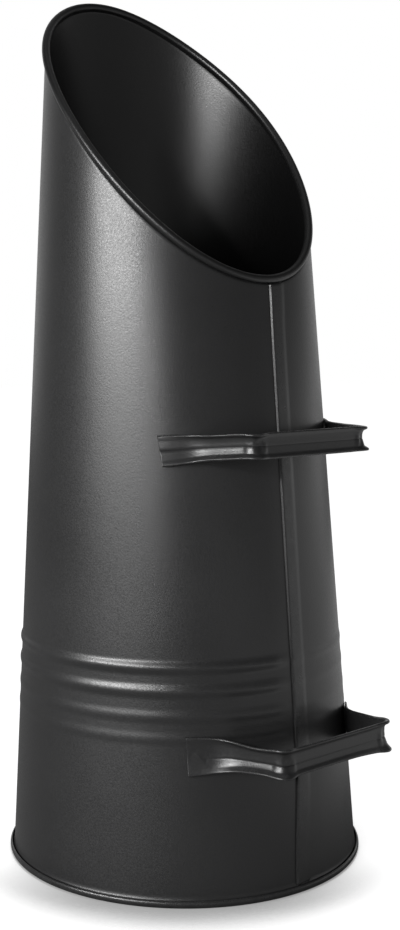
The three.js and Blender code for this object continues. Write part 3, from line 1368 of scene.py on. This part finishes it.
    def wear_sheen(self, loop: np.ndarray, plan: StripPlan, i: int) -> np.ndarray:
        """Wear and painted sheen on a section: along its lips, and a painted highlight on the
        lower flank of the near leg.

        Args:
            loop: The section's points.
            plan: The strip's plan.
            i: Station.

        Returns:
            From 0 to 1 for each point.
        """
        tall = plan.tall[i]
        level = loop[:, 1] + plan.sag[i]
        middle, reach = (plan.corner_at * share for share in self.flank_run)
        flank = eased(level, *(-tall * share for share in self.flank_zone))
        # painted highlight on the near leg's lower flank
        flank = flank * self.flank_sheen * float(hump(plan.run[i], middle, reach))
        # rubbed lips, whose lighter black is also a painted sheen
        edges = eased(np.abs(level), *(tall - inset for inset in self.edge_zone))
        return np.maximum(self.edge_wear_sheen * edges, flank)

    def build(self) -> bpy.types.Object:
        """Builds the handle as one closed skin.

        Returns:
            The handle.
        """
        plan = self.plan()
        loops, wear_and_sheen = [], []
        for i in range(len(plan.run)):
            loop = self.section(plan, i)
            loops.append(self.standing(loop, plan, i))
            wear_and_sheen.append(self.wear_sheen(loop, plan, i))
        return lofted(self.name, np.stack(loops), np.stack(wear_and_sheen), Ends.CAPPED)

    def dress(self) -> bpy.types.Object:
        """Builds the handle and fixes it in the frame."""
        return fixed(self.build(), self.paint, self.node)


def upper_handle(form: HodForm, paint: bpy.types.Material, slot: str) -> StripHandle:
    """The higher handle, with straight legs and tall flat feet.

    Args:
        form: Form of the body it is welded to.
        paint: Its finish.
        slot: The record's slot of that finish, kept by the handle but not used.

    Returns:
        The handle, not yet built.
    """
    return StripHandle(
        form, paint, slot, name="upper_handle_skin", node="upper_handle",
        height=240.6, reach=23.5, grip=89.5, span=127.5, grip_height=13.6, foot_height=16,
        pinch=0.5, foot_bend=20, closed=0.75, slant=1.5, sags=(4, 0),
        grip_section=StripSection(
            across=(-1, -0.94, -0.87, -0.78, -0.5, -0.1, 0, 0.1, 0.5, 0.82, 0.9, 0.95, 1),
            outward=(3.85, 3.2, 2.65, 2.05, 1.45, 0.98, 0.9, 0.92, 1.2, 2.0, 2.4, 2.95, 3.8),
            lip=0.8,
            groove=0.2,
        ),
        foot_section=StripSection(
            across=(-1, -0.6, -0.08, 0, 0.08, 0.6, 1),
            outward=(2.3, 1.7, 0.95, 0.9, 0.9, 0.8, 0.7),
            lip=0.72,
        ),
    )


def lower_handle(form: HodForm, paint: bpy.types.Material, slot: str) -> StripHandle:
    """The lower handle, with taller feet, waved legs and the weld's mark.

    Args:
        form: Form of the body it is welded to.
        paint: Its finish.
        slot: The record's slot of that finish, kept by the handle but not used.

    Returns:
        The handle, not yet built.
    """
    return StripHandle(
        form, paint, slot, name="lower_handle_skin", node="lower_handle",
        height=81.3, reach=29, grip=86, span=124.5, grip_height=14.2, foot_height=20,
        pinch=-1.3, foot_bend=24, closed=0.6, slant=0.4, sags=(2.5, 6),
        formed_length=44, far_flare=1.3, weld_mark=WeldMark(),
        grip_section=StripSection(
            across=(-1, -0.94, -0.87, -0.78, -0.5, -0.28, -0.2, -0.12, 0.3, 0.78, 0.88, 0.94, 1),
            outward=(3.8, 3.3, 2.85, 2.4, 1.5, 1.0, 0.9, 0.92, 1.05, 1.75, 2.2, 2.8, 3.8),
            lip=0.85,
            crease=-0.2,
            groove=0.3,
        ),
        foot_section=StripSection(
            across=(-1, -0.6, -0.25, 0, 0.25, 0.6, 1),
            outward=(1.6, 1.15, 0.75, 0.55, 0.55, 0.6, 0.7),
            lip=0.65,
            crease=-0.2,
            groove=0,
        ),
    )


# ---------------------------------------------------------------- studio
@dataclass(frozen=True)
class Softbox:
    """Rectangular soft light on a stand, in metres, watts and degrees."""

    name: str
    place: tuple[float, float, float]
    aim: tuple[float, float, float]
    size: tuple[float, float]
    watts: float
    spread: float = 180

    def build(self) -> None:
        """Hangs the light and turns it to its aim."""
        lamp = bpy.data.lights.new(self.name, "AREA")
        lamp.shape = "RECTANGLE"
        lamp.size, lamp.size_y = self.size
        lamp.energy = self.watts
        lamp.spread = math.radians(self.spread)
        obj = linked(self.name, lamp)
        obj.location = self.place
        way = Vector(self.aim) - Vector(self.place)
        obj.rotation_mode = "QUATERNION"
        obj.rotation_quaternion = way.to_track_quat("-Z", "Y")


@dataclass
class Studio:
    """White studio: pale floor, soft lights, a dim room in front, and the camera.

    Sizes are in metres, apart from the floor's drop and the camera's eye. The room's steps are
    read along a direction, and the floor's painted contact shadow steps on how open it is there.
    """

    lights: tuple[Softbox, ...] = (
        Softbox("key", (0.02, -2.88, 1.085), (0, 0, 0.25), (2.06, 0.1), 88),
        Softbox("wing", (0.61, -1.148, 0.48), (0, 0, 0.15), (0.36, 0.05), 0.06, 26),
        Softbox("side", (0.53, 1.2, 0.17), (0, 0, 0.2), (1.5, 0.3), 0.78),
        Softbox("top", (0.1, -0.1, 1.7), (0, 0, 0), (1.2, 1.2), 0.9),
    )
    room_light: float = 0.22
    dim: float = 0.22
    dim_above: float = 0.8
    dim_heights: tuple[float, float] = (0.2, 0.6)
    beyond: float = 0.7
    beyond_ways: tuple[float, float] = (0.4, 1.0)
    floor_half: float = 6
    floor_squares: int = 8
    floor_drop: float = 0.05
    floor_colour: tuple[float, float, float] = (0.38, 0.38, 0.38)
    floor_lift: float = 0.95
    floor_mirrored: float = 0.42
    bright_side: tuple[float, float, float] = (0.5, 0.866, 0)
    bright_from: tuple[float, float] = (0.12, 0.36)
    bright_to: tuple[float, float] = (1.4, 0.7)
    contact: float = 0.054
    contact_dark: float = 0.3
    contact_samples: int = 12
    contact_front: tuple[float, float] = (0.66, 0.95)
    contact_back: tuple[float, float] = (0.4, 0.66)
    front_from: tuple[float, float] = (0.02, 0.1)
    eye: tuple[float, float, float] = (577.463, -525.403, 295.454)
    ahead: tuple[float, float, float] = (-0.7434, 0.66223, -0.09386)
    upward: tuple[float, float, float] = (-0.06909, 0.06356, 0.99558)
    lens: float = 52.58
    sensor: float = 36
    shift: float = 0.03226
    clip: tuple[float, float] = (0.01, 50)

    def pale_floor(self) -> bpy.types.Material:
        """Floor that is white to the camera, keeps the shadow and a painted contact shadow, and
        mirrors brighter on one side.

        Returns:
            The material.
        """
        made, recipe = new_material("pale_floor")
        where = recipe.place()
        settings = {"samples": self.contact_samples}
        near = {"Distance": self.contact}
        # painted contact shadow: colour and glow darken where little of the floor is open,
        # reaching further towards the camera
        open_share = recipe.node("ShaderNodeAmbientOcclusion", settings, near, "AO")
        to_camera = recipe.toward(where, (-self.ahead[0], -self.ahead[1], 0))
        wide = recipe.ramp(open_share, *self.contact_front)
        tight = recipe.ramp(open_share, *self.contact_back)
        reach = tight + (wide - tight) * recipe.ramp(to_camera, *self.front_from)
        shade = self.contact_dark + (1 - self.contact_dark) * reach
        aside = recipe.toward(where, self.bright_side)
        patch = recipe.ramp(aside, *self.bright_from) * recipe.ramp(aside, *self.bright_to)
        mirrored = recipe.ray("Glossy") * self.floor_mirrored * patch
        lit = (recipe.ray("Camera") * self.floor_lift).larger(mirrored)
        dark = tuple(c * self.contact_dark for c in self.floor_colour)
        colour = recipe.mixed(shade, dark, self.floor_colour)
        matt = recipe.node("ShaderNodeBsdfDiffuse", None, {"Color": colour})
        glow = {"Color": (1, 1, 1, 1), "Strength": lit * shade}
        lift = recipe.node("ShaderNodeEmission", None, glow)
        both = recipe.node("ShaderNodeAddShader", None, {0: matt, 1: lift})
        recipe.node("ShaderNodeOutputMaterial", None, {"Surface": both})
        return made

    def floor(self) -> None:
        """Lays the pale floor, which keeps the object's shadow and a painted contact shadow."""
        mesh, squares = bmesh.new(), self.floor_squares
        bmesh.ops.create_grid(mesh, x_segments=squares, y_segments=squares, size=self.floor_half)
        data = bpy.data.meshes.new("studio_floor")
        mesh.to_mesh(data)
        mesh.free()
        obj = linked("studio_floor", data)
        obj.location.z = -self.floor_drop * MM
        data.materials.append(self.pale_floor())

    def world(self) -> None:
        """White backdrop for the camera and for what mirrors it, dimmer towards the camera."""
        world = bpy.data.worlds.new("studio")
        world.use_nodes = True
        bpy.context.scene.world = world
        recipe = Recipe(world.node_tree)
        way = recipe.node("ShaderNodeTexCoord", out="Generated")
        ahead = Vector((self.ahead[0], self.ahead[1], 0)).normalized()
        behind, height = recipe.toward(way, tuple(ahead)), recipe.toward(way, (0, 0, 1))
        level_walls = self.dim * (1 - self.dim_above * recipe.ramp(height, *self.dim_heights))
        backdrop = (self.beyond - self.dim) * recipe.ramp(behind, *self.beyond_ways)
        glossy = recipe.ray("Glossy")
        white = recipe.ray("Camera").larger(recipe.ray("Transmission"))
        white = white.larger(glossy * (level_walls + backdrop))
        level = white.larger(self.room_light * (1 - glossy))
        light = {"Color": (1, 1, 1, 1), "Strength": level}
        sky = recipe.node("ShaderNodeBackground", None, light)
        recipe.node("ShaderNodeOutputWorld", None, {"Surface": sky})

    def camera(self) -> None:
        """Sets up the camera at the fitted place."""
        data = bpy.data.cameras.new("camera")
        data.lens, data.sensor_width, data.sensor_fit = self.lens, self.sensor, "AUTO"
        data.shift_x = self.shift
        data.clip_start, data.clip_end = self.clip
        obj = linked("camera", data)
        ahead = Vector(self.ahead).normalized()
        right = ahead.cross(Vector(self.upward)).normalized()
        turned = Matrix((right, right.cross(ahead), -ahead)).transposed().to_4x4()
        obj.matrix_world = Matrix.Translation(Vector(self.eye) * MM) @ turned
        bpy.context.scene.camera = obj

    def build(self) -> None:
        """Builds floor, world, lights and camera."""
        self.floor()
        self.world()
        for light in self.lights:
            light.build()
        self.camera()
        bpy.context.scene.view_settings.view_transform = "Standard"


# ---------------------------------------------------------------- the whole scuttle
def main() -> None:
    """Builds the scuttle's pieces in order, then the studio."""
    logging.basicConfig(level=logging.INFO, format="%(message)s")
    form, stations = HodForm(), Stations()
    satin, drawn = SatinPaint(), DrawnWire()
    paint, wire = satin.material(), drawn.material()
    pieces = (
        BaseDisc(paint, satin.slot),
        BodyShell(form, stations, paint, satin.slot),
        MouthWire(form, stations, wire, drawn.slot),
        lower_handle(form, paint, satin.slot),
        upper_handle(form, paint, satin.slot),
    )
    for piece in pieces:
        made = piece.dress()
        LOG.info("%s: %d faces", made.name, len(made.data.polygons))
    Studio().build()


if __name__ == "__main__":
    main()
